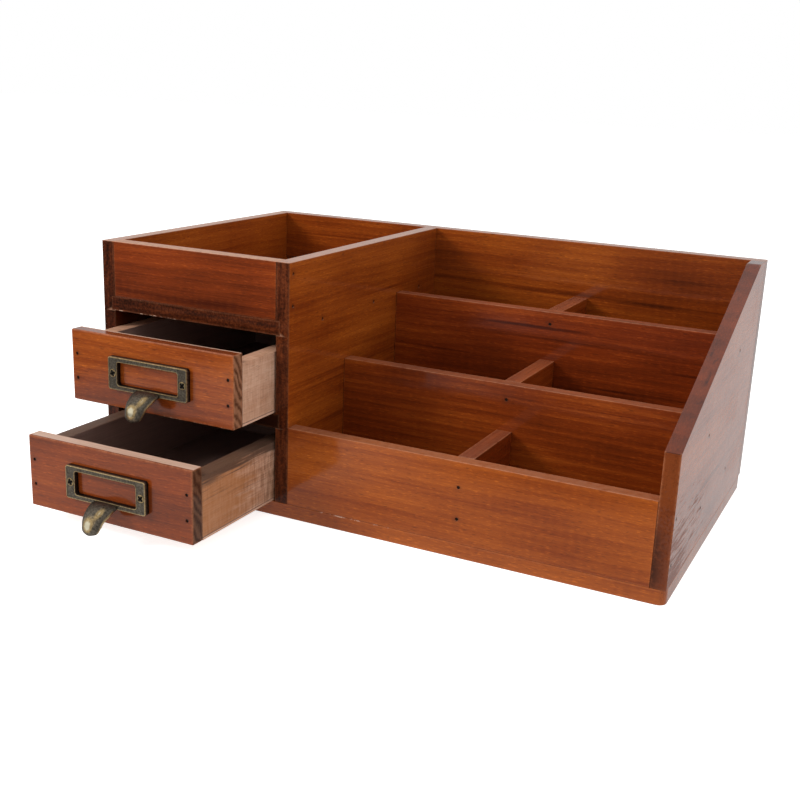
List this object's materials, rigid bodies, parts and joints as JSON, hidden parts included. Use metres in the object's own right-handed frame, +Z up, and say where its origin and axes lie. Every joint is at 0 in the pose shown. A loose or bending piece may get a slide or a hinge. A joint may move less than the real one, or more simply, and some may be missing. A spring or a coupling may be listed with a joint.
{
  "type": "desk organizer",
  "caption": "Wooden desktop organizer with stepped pigeonholes on one side and an open tray over two label-pull drawers on the other.",
  "frame": {"origin": "centre of the base board's underside, on the surface the organizer stands on", "axes": "+X to the right along the width, +Y to the back, +Z up; the drawers open towards -Y"},
  "size_m": [0.33, 0.279, 0.14],
  "materials": {
    "varnished_wood": "gloss varnish over a red-brown stain",
    "raw_wood": "unfinished, sanded",
    "bottom_sheet": "thin stained sheet",
    "antique_brass": "aged casting, worn on the high spots",
    "antique_brass_screws": "aged",
    "nail_steel": "dull, tarnished"
  },
  "bodies": {
    "carcass": {"base_board": "varnished_wood", "left_side": "varnished_wood", "divider": "varnished_wood", "right_side": "varnished_wood", "back_panel": "varnished_wood", "tray_front": "varnished_wood", "tray_floor": "varnished_wood", "middle_shelf": "varnished_wood", "front_panel": "varnished_wood", "middle_partition": "varnished_wood", "rear_partition": "varnished_wood", "front_short_divider": "varnished_wood", "middle_short_divider": "varnished_wood", "rear_short_divider": "varnished_wood", "left_side_nails": "nail_steel", "divider_nails": "nail_steel", "right_side_nails": "nail_steel", "front_nails": "nail_steel", "back_nails": "nail_steel", "base_nails": "nail_steel"},
    "upper_drawer": {"upper_drawer_front": "varnished_wood", "upper_drawer_left_side": "raw_wood", "upper_drawer_right_side": "raw_wood", "upper_drawer_back": "raw_wood", "upper_drawer_bottom": "bottom_sheet", "upper_drawer_pull": "antique_brass", "upper_drawer_pull_screws": "antique_brass_screws", "upper_drawer_nails": "nail_steel"},
    "lower_drawer": {"lower_drawer_front": "varnished_wood", "lower_drawer_left_side": "raw_wood", "lower_drawer_right_side": "raw_wood", "lower_drawer_back": "raw_wood", "lower_drawer_bottom": "bottom_sheet", "lower_drawer_pull": "antique_brass", "lower_drawer_pull_screws": "antique_brass_screws", "lower_drawer_nails": "nail_steel"}
  },
  "joints": [
    {"name": "upper_drawer_slide", "type": "slide", "parent": "carcass", "child": "upper_drawer", "axis": [0, -1, 0], "range_m": [-0.037, 0.093]},
    {"name": "lower_drawer_slide", "type": "slide", "parent": "carcass", "child": "lower_drawer", "axis": [0, -1, 0], "range_m": [-0.072, 0.058]}
  ]
}
